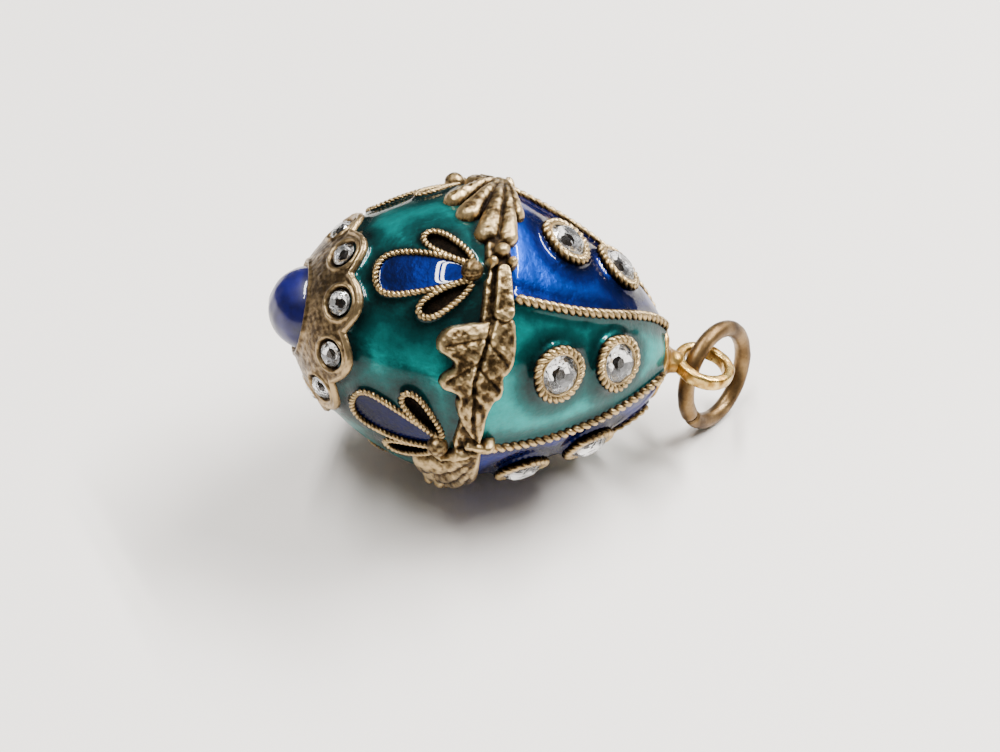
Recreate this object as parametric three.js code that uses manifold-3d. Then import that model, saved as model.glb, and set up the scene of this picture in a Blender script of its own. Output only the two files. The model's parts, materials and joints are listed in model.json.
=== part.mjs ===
// Egg pendant in antique gilt metal with translucent enamel, lying on its side with its ring hanging.
// Millimetres, +Z up, +X towards the bail. Each sub-part is one closed mesh.
import * as THREE from 'three';
import { mergeVertices } from 'three/addons/utils/BufferGeometryUtils.js';
import Module from 'manifold-3d';

const wasm = await Module();
wasm.setup();

// Driving dimensions. The egg axis is s, zero at the belt and positive towards the bail.
const BELT_RADIUS = 10;
const BLUNT_LENGTH = 12.45;
const BLUNT_FULLNESS = 1.65;
const POINT_LENGTH = 13.89;
const POINT_FULLNESS = 1.15;
const AXIS_DIP = THREE.MathUtils.degToRad(14.7);
const ENAMEL_DEPTH = 0.32;
const GAP = 0.06;
const CORE_DEPTH = 0.47;
const FIELD_START_S = -9.6;
const BAND_START_S = -2.3;
const BAND_END_S = -0.1;
const FRONT_ANGLE = 38.35;
const SIDES = 40;
const SMOOTHING = 0.02;
const CUT_LOW = -1.2;
const CUT_HIGH = 2.2;

const FLOWERS = 5;
const FLOWER_START = -21;
const FLOWER_S = -2.7;
const PETAL_SPAN = [-10.2, -0.9];
const PETAL_LENGTH = 5.6;
const PETAL_HALF = 1.45;
const PETAL_TOP = 0.06;
const LOOP_ROOT = 0.7;
const LOOP_LENGTH = 3.5;
const LOOP_HALF = 0.8;
const LOOP_SPLAY = 36;
const WIRE_WIDTH = 0.36;
const WIRE_TOP = 0.34;
const BALL_RADIUS = 0.7;
const BALL_LIFT = 0.42;

const LOBES = 10;
const COLLAR_START = -5;
const COLLAR_EDGE = 6.3;
const COLLAR_WAVE = 0.3;
const COLLAR_TOP = 0.5;
const COLLAR_START_S = -11.72;
const COLLAR_END_S = -8.4;
const SEAT_S = -10.1;
const SEAT_RADIUS = 1.0;
const SEAT_DEPTH = 0.42;
const COLLAR_STONE_RADIUS = 0.84;
const DOME_RADIUS = 2.85;
const DOME_S = -11.4;
const CORE_FACE_S = -10.82;
const CORE_BORE = 2.95;

const PANELS = 6;
const PANEL_END_S = 12.4;
const ROPE_START = -12.5;
const ROPE_SWIRL = -38;
const ROPE_START_S = 1.5;
const ROPE_RADIUS = 0.4;
const ROPE_END_S = 12.25;
const STONE_STATIONS = [3.75, 8.1];
const STONE_SHIFT = -3.5;
const COLLET_OUTER = 2.0;
const COLLET_BORE = 1.4;
const COLLET_TOP = 0.62;
const STONE_RADIUS = 1.3;
const STONE_CROWN = 0.45;
const STRIP_HALF = 0.4;
const STRIP_TOP = -0.22;

const LEAF_SPAN = [-4.6, 1];
const GARLAND_TOP = 0.9;
const GARLAND_CROWN = 1.15;
const GARLAND_REPEATS = 3;
// Leaf and fan outlines as [angle in degrees, station in mm], going round their lobes.
const LEAF_MIDDLE = [17, -1.4];
const LEAF_OUTLINE = [
  [-8, 0.05], [0, 0.5], [13.5, 0.65], [16.5, 0.1], [21.5, 0.4], [27, -0.35], [36.5, -0.3],
  [47, -0.15], [42, -1.0], [36, -2.0], [28.5, -2.7], [25.5, -2.6], [24.7, -3.65], [21, -3.85],
  [15.5, -3.25], [10.5, -4.3], [1, -4.1], [-2, -2.8], [-3.5, -1.6],
];
const FAN_MIDDLE = [-55, -1.5];
const FAN_OUTLINE = [
  [-76, 0.6], [-76, -1.1], [-70, -1.4], [-61, -3.9], [-56, -4.4], [-52, -3.9], [-52, -3.0],
  [-46, -3.4], [-42, -2.9], [-44, -2.1], [-36, -2.2], [-33, -1.6], [-35, -1.2], [-32, -0.6],
  [-35, -0.1], [-44, -0.3], [-50, 0.6], [-58, 0.5], [-70, 0.2],
];
const STEM_OUTLINE = [[-24, -1.4], [-24, -0.3], [-8, 0.2], [-5, -1.7], [-14, -1.8]];
const KNOB_ANGLE = -29.6;
const KNOB_S = -1.0;

const CAP_RADIUS = 2.85;
const CAP_START_S = 12.55;
const CAP_END_S = 13.75;
const NECK_RADIUS = 0.95;
const EYE_S = 16.8;
const EYE_OUTER = 2.25;
const EYE_BORE = 1.47;
const EYE_THICK = 1.0;
const RING_RADIUS = 3.55;
const RING_WIRE = 0.6;
const RING_TURN = 41;
const RING_LEAN = 17.3;
const RING_OUT = 2.5;
const RING_DOWN = 1.88;
const RING_SEAM = 3;

const rad = THREE.MathUtils.degToRad;
const METAL = { color: 0x9a7d4c, roughness: 0.42, metalness: 1 };
const BRIGHT = { color: 0xc9a45a, roughness: 0.35, metalness: 1 };
const BRASS = { color: 0x7d6a4a, roughness: 0.4, metalness: 1 };
const GREEN = { color: 0x0d6b62, roughness: 0.12, metalness: 0 };
const BLUE = { color: 0x1a3f9c, roughness: 0.12, metalness: 0 };
const PETAL = { color: 0x14267f, roughness: 0.12, metalness: 0 };
const LAPIS = { color: 0x23259a, roughness: 0.08, metalness: 0 };
const CRYSTAL = { color: 0xe4e8ea, roughness: 0.03, metalness: 0 };

// Radius of the enamel surface at station s.
function eggRadius(s) {
  const share = s < 0
    ? (-s / BLUNT_LENGTH) ** BLUNT_FULLNESS
    : (s / POINT_LENGTH) ** POINT_FULLNESS;
  return BELT_RADIUS * Math.sqrt(Math.max(0, 1 - share));
}

// Unit outward normal of the egg outline as [along the axis, radial].
function eggNormal(s) {
  const step = 0.05;
  const slope = (eggRadius(s + step) - eggRadius(s - step)) / (2 * step);
  const length = Math.hypot(slope, 1);
  return [-slope / length, 1 / length];
}

// Direction across the axis at the angle phi, in degrees, zero at the front and growing downwards.
function across(phi) {
  const lift = rad(FRONT_ANGLE - phi);
  return new THREE.Vector3(0, -Math.cos(lift), Math.sin(lift));
}

// Point at station s and angle phi, h above the enamel.
function onEgg(s, phi, h) {
  const [axial, radial] = eggNormal(s);
  const point = across(phi).multiplyScalar(eggRadius(s) + h * radial);
  point.x = s + h * axial;
  return point;
}

// Manifold solid from a closed geometry.
function solid(geometry) {
  const bare = geometry.clone();
  bare.deleteAttribute('normal');
  bare.deleteAttribute('uv');
  const merged = mergeVertices(bare, 1e-4);
  return new wasm.Manifold(new wasm.Mesh({
    numProp: 3,
    vertProperties: new Float32Array(merged.attributes.position.array),
    triVerts: new Uint32Array(merged.index.array),
  }));
}

// Geometry from a manifold solid.
function geometryOf(body) {
  const mesh = body.getMesh();
  const geometry = new THREE.BufferGeometry();
  geometry.setAttribute('position', new THREE.BufferAttribute(mesh.vertProperties, 3));
  geometry.setIndex(new THREE.BufferAttribute(mesh.triVerts, 1));
  return geometry;
}

// Solid turned about the egg axis from [radius, station] pairs that start and end on the axis
// or close on themselves.
function turned(profile, sides = SIDES) {
  const points = profile.map(([radius, station]) => new THREE.Vector2(radius, station));
  const geometry = new THREE.LatheGeometry(points, sides);
  geometry.rotateZ(-Math.PI / 2);
  const body = solid(geometry);
  if (body.volume() > 0) {
    return body;
  }
  const flipped = new THREE.LatheGeometry([...points].reverse(), sides);
  flipped.rotateZ(-Math.PI / 2);
  return solid(flipped);
}

// Closed skin between two heights over the stations from s0 to s1.
function skin(s0, s1, low, high, steps = 8, sides = SIDES) {
  const profile = [];
  for (let i = 0; i <= steps; i += 1) {
    const s = s0 + (s1 - s0) * i / steps;
    const [axial, radial] = eggNormal(s);
    profile.push([eggRadius(s) + low * radial, s + low * axial]);
  }
  for (let i = steps; i >= 0; i -= 1) {
    const s = s0 + (s1 - s0) * i / steps;
    const [axial, radial] = eggNormal(s);
    profile.push([eggRadius(s) + high * radial, s + high * axial]);
  }
  profile.push(profile[0]);
  return turned(profile, sides);
}

// Closed block on the egg wall under an outline of [station, angle] pairs, with an optional hole.
function plug(outline, low = CUT_LOW, high = CUT_HIGH, hole = []) {
  const flatten = ([s, phi]) => new THREE.Vector2(s, phi * 0.15);
  const wind = (loop, sign) => {
    const flat = loop.map(flatten);
    return THREE.ShapeUtils.area(flat) * sign > 0 ? loop : [...loop].reverse();
  };
  const rim = wind(outline, 1);
  const inner = hole.length > 0 ? wind(hole, -1) : [];
  const all = rim.concat(inner);
  const count = all.length;
  const vertices = [];
  for (const h of [low, high]) {
    for (const [s, phi] of all) {
      const point = onEgg(s, phi, h);
      vertices.push(point.x, point.y, point.z);
    }
  }
  const index = [];
  const holes = inner.length > 0 ? [inner.map(flatten)] : [];
  for (const [a, b, c] of THREE.ShapeUtils.triangulateShape(rim.map(flatten), holes)) {
    index.push(a, b, c, count + a, count + c, count + b);
  }
  const wall = (first, size) => {
    for (let i = 0; i < size; i += 1) {
      const near = first + i;
      const far = first + (i + 1) % size;
      index.push(near, count + far, far, near, count + near, count + far);
    }
  };
  wall(0, rim.length);
  wall(rim.length, inner.length);
  const geometry = new THREE.BufferGeometry();
  geometry.setAttribute('position', new THREE.Float32BufferAttribute(vertices, 3));
  geometry.setIndex(index);
  return solid(geometry);
}

// Upright cylinder on the egg wall from height low to high.
function post(s, phi, radius, low, high, sides = 24, topRadius = radius) {
  const geometry = new THREE.CylinderGeometry(topRadius, radius, high - low, sides);
  const foot = onEgg(s, phi, 0);
  const up = onEgg(s, phi, 1).sub(foot).normalize();
  geometry.translate(0, (high + low) / 2, 0);
  geometry.applyQuaternion(new THREE.Quaternion().setFromUnitVectors(new THREE.Vector3(0, 1, 0), up));
  geometry.translate(foot.x, foot.y, foot.z);
  return solid(geometry);
}

// The biggest separate body of a solid.
function largest(body) {
  return body.decompose().reduce((best, piece) => (piece.volume() > best.volume() ? piece : best));
}

const group = new THREE.Group();
group.name = 'egg_pendant';

// One named mesh of the group from a solid.
function addPart(name, body, look) {
  const geometry = geometryOf(body.asOriginal().simplify(SMOOTHING));
  const mesh = new THREE.Mesh(geometry, new THREE.MeshStandardMaterial(look));
  mesh.name = name;
  group.add(mesh);
}

const number = (index) => String(index + 1).padStart(2, '0');

// Egg halves, each a solid casting below the enamel.
function halfShell(from, to, steps, lead) {
  const profile = [...lead];
  for (let i = 0; i <= steps; i += 1) {
    const s = from + (to - from) * i / steps;
    const [axial, radial] = eggNormal(s);
    profile.push([eggRadius(s) - CORE_DEPTH * radial, s - CORE_DEPTH * axial]);
  }
  const last = profile[profile.length - 1];
  last[1] = to;
  profile.push([0, to]);
  return turned(profile);
}

// Flower outlines in mm: u from the ball towards the blunt end, v along the belt.
function petalOutline(grow) {
  const points = [];
  const steps = 16;
  for (let i = 0; i < steps; i += 1) {
    const turn = 2 * Math.PI * i / steps;
    const along = 0.5 - 0.5 * Math.cos(turn);
    const wedge = 0.4 + 0.6 * Math.sin(Math.PI / 2 * Math.min(1, along / 0.8));
    const width = Math.sign(Math.sin(turn)) * Math.sqrt(1 - Math.abs(2 * along - 1) ** 7) * wedge;
    points.push([along * (PETAL_LENGTH + 2 * grow) - grow, width * (PETAL_HALF + grow)]);
  }
  return points;
}

function loopOutline(side, grow) {
  const points = [];
  const steps = 10;
  const splay = rad(LOOP_SPLAY) * side;
  for (let i = 0; i < steps; i += 1) {
    const turn = 2 * Math.PI * i / steps;
    const along = (0.5 - 0.5 * Math.cos(turn)) * (LOOP_LENGTH + 2 * grow) - grow;
    const width = Math.sin(turn) * (LOOP_HALF + grow) * (0.8 - 0.2 * Math.cos(turn));
    points.push([
      along * Math.cos(splay) - width * Math.sin(splay),
      LOOP_ROOT * side + along * Math.sin(splay) + width * Math.cos(splay),
    ]);
  }
  return points;
}

// Flower outline laid on the egg as [station, angle] pairs.
function flowerToEgg(outline, centre) {
  return outline.map(([u, v]) => {
    const s = FLOWER_S - u;
    return [s, centre + THREE.MathUtils.radToDeg(v / eggRadius(s))];
  });
}

// Block that covers a whole flower, grown by a margin.
function flowerFoot(centre, grow) {
  return [petalOutline(grow), loopOutline(1, grow), loopOutline(-1, grow)]
    .map((outline) => plug(flowerToEgg(outline, centre)))
    .concat(post(FLOWER_S, centre, BALL_RADIUS + grow - WIRE_WIDTH / 2, CUT_LOW, CUT_HIGH, 12))
    .reduce((whole, piece) => whole.add(piece));
}

// Upright wire along an outline, set in from the full height by inset.
function wireLoop(outlineAt, centre, inset = 0) {
  const outer = flowerToEgg(outlineAt(WIRE_WIDTH / 2), centre);
  const inner = flowerToEgg(outlineAt(-WIRE_WIDTH / 2), centre);
  return plug(outer, inset - ENAMEL_DEPTH, WIRE_TOP - inset, inner);
}

const petalSkin = skin(...PETAL_SPAN, -ENAMEL_DEPTH, PETAL_TOP, 5);
let field = skin(FIELD_START_S, BAND_START_S - GAP, -ENAMEL_DEPTH, 0, 6);

for (let k = 0; k < FLOWERS; k += 1) {
  const centre = FLOWER_START + k * 360 / FLOWERS;
  const petalHole = plug(flowerToEgg(petalOutline(-WIRE_WIDTH / 2), centre));
  const ball = solid(new THREE.SphereGeometry(BALL_RADIUS, 12, 7));
  const seat = onEgg(FLOWER_S, centre, BALL_LIFT);
  const foot = post(FLOWER_S, centre, BALL_RADIUS * 0.6, 0.01 - ENAMEL_DEPTH, 0.3, 8);
  const wire = wireLoop((grow) => loopOutline(1, grow), centre, 0.03)
    .add(wireLoop((grow) => loopOutline(-1, grow), centre, 0.05))
    .subtract(petalHole)
    .add(wireLoop(petalOutline, centre))
    .add(foot)
    .add(ball.translate([seat.x, seat.y, seat.z]));
  addPart(`flower_wire_${k + 1}`, wire, METAL);
  const glass = petalSkin.intersect(plug(flowerToEgg(petalOutline(-WIRE_WIDTH / 2 - GAP), centre)));
  const clear = post(FLOWER_S, centre, BALL_RADIUS + GAP, CUT_LOW, CUT_HIGH, 12);
  addPart(`petal_enamel_${k + 1}`, glass.subtract(clear), PETAL);
  field = field.subtract(flowerFoot(centre, WIRE_WIDTH / 2 + GAP));
}

// Scalloped collar: a curved plate cut by a ten-lobed outline, bored for the dome and the seats.
function scallop() {
  const shape = new THREE.Shape();
  const steps = 60;
  for (let i = 0; i <= steps; i += 1) {
    const phi = i * 360 / steps;
    const lobe = Math.abs(Math.cos(rad((phi - COLLAR_START) * LOBES / 2)));
    const radius = COLLAR_EDGE + COLLAR_WAVE * (2 * lobe ** 1.2 - 1);
    const out = across(phi).multiplyScalar(radius);
    if (i === 0) {
      shape.moveTo(out.y, out.z);
    } else if (i < steps) {
      shape.lineTo(out.y, out.z);
    }
  }
  const geometry = new THREE.ExtrudeGeometry(shape, { depth: 6, bevelEnabled: false });
  geometry.applyMatrix4(new THREE.Matrix4().makeBasis(
    new THREE.Vector3(0, 1, 0),
    new THREE.Vector3(0, 0, 1),
    new THREE.Vector3(1, 0, 0),
  ));
  geometry.translate(-13.5, 0, 0);
  return solid(geometry);
}

const collarSweep = scallop();
let collar = skin(COLLAR_START_S, COLLAR_END_S, -ENAMEL_DEPTH, COLLAR_TOP, 7).intersect(collarSweep);
field = field.subtract(collarSweep.scale([1, 1.01, 1.01]));
for (let k = 0; k < LOBES; k += 1) {
  const phi = COLLAR_START + k * 360 / LOBES;
  const floor = COLLAR_TOP - SEAT_DEPTH;
  collar = collar.subtract(post(SEAT_S, phi, SEAT_RADIUS, floor, 2, 10));
  const pavilion = post(SEAT_S, phi, 0.45, floor + GAP, floor + 0.3, 8, COLLAR_STONE_RADIUS);
  const crown = post(SEAT_S, phi, COLLAR_STONE_RADIUS, floor + 0.3, floor + 0.55, 8, 0.5);
  addPart(`collar_stone_${number(k)}`, pavilion.add(crown), CRYSTAL);
}
addPart('scalloped_collar', collar, METAL);
addPart('green_enamel_field', field, GREEN);
const domeSeat = [[0, CORE_FACE_S], [CORE_BORE, CORE_FACE_S]];
addPart('blunt_shell', halfShell(COLLAR_START_S + 0.05, -GAP, 9, domeSeat), METAL);
addPart('pointed_shell', halfShell(GAP, PANEL_END_S, 8, [[0, GAP]]), METAL);

// Dome standing in the bore of the collar.
const domeProfile = [[0, DOME_S - DOME_RADIUS]];
for (let i = 1; i <= 8; i += 1) {
  const turn = rad(100 * i / 8);
  domeProfile.push([DOME_RADIUS * Math.sin(turn), DOME_S - DOME_RADIUS * Math.cos(turn)]);
}
domeProfile.push([0, domeProfile[domeProfile.length - 1][1]]);
addPart('cabochon', turned(domeProfile, 24), LAPIS);

// Angle of rope k at station s.
function ropeAngle(k, s) {
  return ROPE_START + k * 360 / PANELS + ROPE_SWIRL * (s / POINT_LENGTH) ** 3;
}

// Outline between ropes k and k + 1, kept clear of both by a margin.
function panelOutline(k, from, to, margin) {
  const steps = 6;
  const left = [];
  const right = [];
  for (let i = 0; i <= steps; i += 1) {
    const s = from + (to - from) * i / steps;
    const inset = THREE.MathUtils.radToDeg(margin / eggRadius(s));
    left.push([s, ropeAngle(k, s) + inset]);
    right.push([s, ropeAngle(k + 1, s) - inset]);
  }
  return left.concat(right.reverse());
}

// Panels, their ropes, collets and stones.
const panelSkin = skin(BAND_END_S + GAP, PANEL_END_S, STRIP_TOP + GAP, 0, 5);
for (let k = 0; k < PANELS; k += 1) {
  const middle = (s) => (ropeAngle(k, s) + ropeAngle(k + 1, s)) / 2 + STONE_SHIFT;
  const outline = panelOutline(k, BAND_END_S - 0.2, PANEL_END_S + 0.2, ROPE_RADIUS + 2 * GAP);
  let panel = panelSkin.intersect(plug(outline));
  const [near, far] = STONE_STATIONS;
  const half = THREE.MathUtils.radToDeg(STRIP_HALF / eggRadius(near));
  const ends = [];
  for (const [share, side] of [[0, -1], [0.5, -1], [1, -1], [1, 1], [0.5, 1], [0, 1]]) {
    const s = near + (far - near) * share;
    ends.push([s, middle(s) + side * half]);
  }
  let setting = plug(ends, -ENAMEL_DEPTH, STRIP_TOP);
  STONE_STATIONS.forEach((s, row) => {
    const phi = middle(s);
    const ring = post(s, phi, COLLET_OUTER, -ENAMEL_DEPTH, COLLET_TOP, 14, COLLET_OUTER - 0.25)
      .subtract(post(s, phi, COLLET_BORE, -0.1, 3, 14));
    setting = setting.add(ring);
    panel = panel.subtract(post(s, phi, COLLET_OUTER + GAP, -2, 2, 14));
    const girdle = COLLET_TOP - 0.12;
    const pavilion = post(s, phi, 0.3, -0.1 + GAP, girdle, 8, STONE_RADIUS);
    const crown = post(s, phi, STONE_RADIUS, girdle, girdle + STONE_CROWN, 8, STONE_RADIUS * 0.58);
    addPart(`panel_stone_${number(2 * k + row)}`, pavilion.add(crown), CRYSTAL);
  });
  addPart(`enamel_panel_${k + 1}`, panel, k % 2 === 0 ? GREEN : BLUE);
  addPart(`stone_setting_${k + 1}`, setting, METAL);

  const path = [];
  for (let i = 0; i <= 8; i += 1) {
    const s = ROPE_START_S + (ROPE_END_S - ROPE_START_S) * i / 8;
    path.push(onEgg(s, ropeAngle(k, s), ROPE_RADIUS - ENAMEL_DEPTH + GAP));
  }
  const section = new THREE.Shape();
  section.absarc(0, 0, ROPE_RADIUS, 0, 2 * Math.PI);
  const rope = new THREE.ExtrudeGeometry(section, {
    steps: 10,
    curveSegments: 4,
    extrudePath: new THREE.CatmullRomCurve3(path),
  });
  addPart(`rope_wire_${k + 1}`, solid(rope), METAL);
}

// Garland outline turned about the axis and scaled about its middle.
function garlandPlug(outline, turn, scale = 1, middle = [0, 0]) {
  return plug(outline.map(([phi, s]) => [
    middle[1] + (s - middle[1]) * scale,
    middle[0] + (phi - middle[0]) * scale + turn,
  ]));
}

// Garland: a low ring band carrying leaves, fans and small knobs.
let garland = skin(BAND_START_S, BAND_END_S, -ENAMEL_DEPTH, GARLAND_TOP - 0.35, 2);
const leafSkin = skin(...LEAF_SPAN, 2 * GAP, GARLAND_TOP, 5);
const crownSkin = skin(...LEAF_SPAN, 2 * GAP, GARLAND_CROWN, 5);
for (let k = 0; k < GARLAND_REPEATS; k += 1) {
  const turn = k * 360 / GARLAND_REPEATS;
  garland = garland
    .add(leafSkin.intersect(garlandPlug(LEAF_OUTLINE, turn)))
    .add(crownSkin.intersect(garlandPlug(LEAF_OUTLINE, turn, 0.55, LEAF_MIDDLE)))
    .add(leafSkin.intersect(garlandPlug(FAN_OUTLINE, turn)))
    .add(crownSkin.intersect(garlandPlug(FAN_OUTLINE, turn, 0.6, FAN_MIDDLE)))
    .add(leafSkin.intersect(garlandPlug(STEM_OUTLINE, turn)))
    .add(post(KNOB_S, KNOB_ANGLE + turn, 0.6, 0, GARLAND_CROWN, 12, 0.4));
}
for (let k = 0; k < FLOWERS; k += 1) {
  garland = garland.subtract(flowerFoot(FLOWER_START + k * 360 / FLOWERS, WIRE_WIDTH / 2 + GAP));
}
garland = largest(garland);
addPart('leaf_garland', garland, METAL);

// Cap, neck and fixed eye.
addPart('top_cap', turned([
  [0, CAP_START_S], [CAP_RADIUS - 0.25, CAP_START_S], [CAP_RADIUS, CAP_START_S + 0.2],
  [CAP_RADIUS, CAP_START_S + 0.5], [CAP_RADIUS - 0.3, CAP_START_S + 0.75],
  [1.7, CAP_END_S - 0.1], [1.5, CAP_END_S], [0, CAP_END_S],
], 24), METAL);

const eyeProfile = [];
for (let i = 0; i < 12; i += 1) {
  const turn = 2 * Math.PI * i / 12;
  const soften = (x) => Math.sign(x) * Math.abs(x) ** 0.7;
  eyeProfile.push(new THREE.Vector2(
    (EYE_OUTER + EYE_BORE) / 2 + (EYE_OUTER - EYE_BORE) / 2 * soften(Math.cos(turn)),
    EYE_THICK / 2 * soften(Math.sin(turn)),
  ));
}
eyeProfile.push(eyeProfile[0].clone());
const eyeRing = new THREE.LatheGeometry(eyeProfile, 24);
eyeRing.rotateX(Math.PI / 2);
eyeRing.translate(EYE_S, 0, 0);
let eye = solid(eyeRing);
eye = eye.add(turned([
  [0, CAP_END_S + GAP], [1.3, CAP_END_S + GAP], [NECK_RADIUS, CAP_END_S + 0.35],
  [NECK_RADIUS * 0.9, EYE_S - EYE_OUTER + 0.25], [0.4, EYE_S - EYE_BORE - 0.2], [0, EYE_S - EYE_BORE - 0.2],
], 20));
addPart('bail_eye', eye, BRIGHT);

// Split jump ring hanging over the rim of the eye.
class RingPath extends THREE.Curve {
  getPoint(t, target = new THREE.Vector3()) {
    const turn = rad(RING_SEAM / 2 + (360 - RING_SEAM) * t);
    return target.set(RING_RADIUS * Math.cos(turn), 0, RING_RADIUS * Math.sin(turn));
  }
}
const ringSection = new THREE.Shape();
ringSection.absarc(0, 0, RING_WIRE, 0, 2 * Math.PI);
const ring = new THREE.ExtrudeGeometry(ringSection, {
  steps: 36,
  curveSegments: 5,
  extrudePath: new RingPath(),
});
ring.rotateY(rad(-130));
ring.rotateX(rad(-RING_LEAN));
ring.translate(RING_OUT, 0, -RING_DOWN);
ring.rotateZ(rad(RING_TURN));
ring.translate(EYE_S, 0, 0);
addPart('jump_ring', solid(ring), BRASS);

// Lay the egg down: dip the axis, then set the origin under the middle of the whole part.
const lay = new THREE.Matrix4().makeRotationY(AXIS_DIP);
const whole = new THREE.Box3();
for (const mesh of group.children) {
  mesh.geometry.applyMatrix4(lay);
  mesh.geometry.computeBoundingBox();
  whole.union(mesh.geometry.boundingBox);
}
const middle = whole.getCenter(new THREE.Vector3());
for (const mesh of group.children) {
  mesh.geometry.translate(-middle.x, -middle.y, -whole.min.z);
}

export default group;
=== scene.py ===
import json
import math

import bpy
import numpy as np
from mathutils import Matrix, Vector


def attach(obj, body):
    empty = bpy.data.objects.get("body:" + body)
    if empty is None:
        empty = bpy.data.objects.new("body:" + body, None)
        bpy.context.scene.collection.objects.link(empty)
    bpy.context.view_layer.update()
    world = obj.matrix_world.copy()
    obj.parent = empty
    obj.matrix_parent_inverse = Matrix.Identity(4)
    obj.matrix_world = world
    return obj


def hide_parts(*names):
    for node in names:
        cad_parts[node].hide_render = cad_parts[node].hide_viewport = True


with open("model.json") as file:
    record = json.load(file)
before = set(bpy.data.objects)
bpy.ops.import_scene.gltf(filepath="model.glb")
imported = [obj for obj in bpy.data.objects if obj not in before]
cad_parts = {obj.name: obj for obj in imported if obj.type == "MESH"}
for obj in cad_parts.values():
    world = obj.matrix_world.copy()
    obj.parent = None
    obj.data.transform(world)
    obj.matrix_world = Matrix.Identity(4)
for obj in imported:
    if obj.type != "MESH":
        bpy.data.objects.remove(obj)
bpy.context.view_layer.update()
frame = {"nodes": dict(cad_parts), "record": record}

# Lengths are in mm and plain angles in degrees. Station s runs along the egg's axis, from 0 at the
# belt towards the eye. Angle phi is 0 where the egg faces the camera, and grows downwards.
MM = 0.001
DIP = math.radians(14.7)
FRONT_ANGLE = 38.35
BELT_RADIUS = 10.0
BLUNT_LENGTH = 12.45
BLUNT_FULLNESS = 1.65
POINT_LENGTH = 13.89
POINT_FULLNESS = 1.15
EYE_S = 16.8
EYE_OUTER = 2.25
EYE_BORE = 1.47
HINGE_ANGLE = math.radians(59)
HINGE_REACH = 1.86
BAND_START_S = -2.3
FLOWERS = 5
FLOWER_START = -21.0
FLOWER_S = -2.7
PETAL_LENGTH = 5.6
LOOP_LENGTH = 3.5
LOOP_ROOT = 0.7
LOOP_SPLAY = math.radians(36)
BALL_RADIUS = 0.7
STRANDS = 2
LOBES = 10
COLLAR_START = -5.0
COLLAR_BORE = 2.92
COLLAR_EDGE = 6.3
COLLAR_WAVE = 0.3
SEAT_S = -10.1
SEAT_RIM = 1.14
SEAT_BOWL = 1.06
COLLAR_STONE = 0.84
DOME_RADIUS = 2.85
DOME_S = -11.4
PANELS = 6
ROPE_START = -12.5
ROPE_SWIRL = -38.0
STONE_STATIONS = (3.75, 8.1)
STONE_SHIFT = -3.5
PANEL_STONE = 1.3
WREATH_RADIUS = 1.64
GARLAND_REPEATS = 3
GARLAND_START = -77
BAND_MIDDLE_S = -1.15
SUNK = -0.5
CORNER_STEPS = 5
FOIL_SCALE = 900

rng = np.random.default_rng(7)


# ---------------------------------------------------------------- egg surface
def egg_radius(s):
    s = np.asarray(s, float)
    blunt = (np.maximum(-s, 0) / BLUNT_LENGTH) ** BLUNT_FULLNESS
    point = (np.maximum(s, 0) / POINT_LENGTH) ** POINT_FULLNESS
    return BELT_RADIUS * np.sqrt(np.maximum(0, 1 - np.where(s < 0, blunt, point)))


def egg_normal(s):
    step = 0.05
    slope = (egg_radius(s + step) - egg_radius(s - step)) / (2 * step)
    length = np.hypot(slope, 1)
    return -slope / length, 1 / length


def across(phi):
    lift = np.radians(FRONT_ANGLE - np.asarray(phi, float))
    return np.stack([np.zeros_like(lift), -np.cos(lift), np.sin(lift)], -1)


def on_egg(s, phi, h):
    """Points h above the enamel at station s and angle phi, in the egg's own frame, in mm."""
    s, phi, h = np.broadcast_arrays(*(np.asarray(v, float) for v in (s, phi, h)))
    axial, radial = egg_normal(s)
    points = across(phi) * (egg_radius(s) + h * radial)[..., None]
    points[..., 0] = s + h * axial
    return points


TURN = np.array([
    [math.cos(DIP), 0, math.sin(DIP)],
    [0, 1, 0],
    [-math.sin(DIP), 0, math.cos(DIP)],
])
HINGE = np.array(frame["record"]["behaviour"]["joints"][0]["pos_m"]) / MM
REACH = np.array([
    EYE_S + HINGE_REACH * math.cos(HINGE_ANGLE),
    HINGE_REACH * math.sin(HINGE_ANGLE),
    0,
])
BELT_CENTRE = HINGE - TURN @ REACH


def to_row(points):
    """Egg frame in mm to the row frame in metres."""
    return (np.asarray(points, float) @ TURN.T + BELT_CENTRE) * MM


# ---------------------------------------------------------------- mesh helpers
def add(name, data):
    thing = bpy.data.objects.new(name, data)
    bpy.context.scene.collection.objects.link(thing)
    return thing


def build(name, parts, node, body="egg"):
    """One object from (points, faces, material, shading) parts given in the egg frame."""
    points, faces, slots, shading_and_mottle, materials = [], [], [], [], []
    start = 0
    for part_points, part_faces, material, part_shading in parts:
        part_points = np.asarray(part_points, float).reshape(-1, 3)
        points.append(part_points)
        faces.extend([[start + i for i in face] for face in part_faces])
        if material not in materials:
            materials.append(material)
        slots.extend([materials.index(material)] * len(part_faces))
        shading_and_mottle.append(np.broadcast_to(np.asarray(part_shading, float).reshape(-1), (len(part_points),)))
        start += len(part_points)
    mesh = bpy.data.meshes.new(name)
    mesh.from_pydata(to_row(np.concatenate(points)).tolist(), [], faces)
    for material in materials:
        mesh.materials.append(material)
    mesh.polygons.foreach_set("material_index", slots)
    mesh.polygons.foreach_set("use_smooth", [True] * len(faces))
    layer = mesh.attributes.new("shading_and_mottle", "FLOAT", "POINT")
    layer.data.foreach_set("value", np.concatenate(shading_and_mottle).astype(np.float32))
    mesh.validate()
    mesh.update()
    thing = add(name, mesh)
    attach(thing, body)
    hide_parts(node)
    return thing


def grid_faces(rows, columns, wrap_rows=False, wrap_columns=False):
    faces = []
    for i in range(rows if wrap_rows else rows - 1):
        a = i * columns
        b = ((i + 1) % rows) * columns
        for j in range(columns if wrap_columns else columns - 1):
            k = (j + 1) % columns
            faces.append([a + j, a + k, b + k, b + j])
    return faces


def flipped(faces):
    return [face[::-1] for face in faces]


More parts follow.
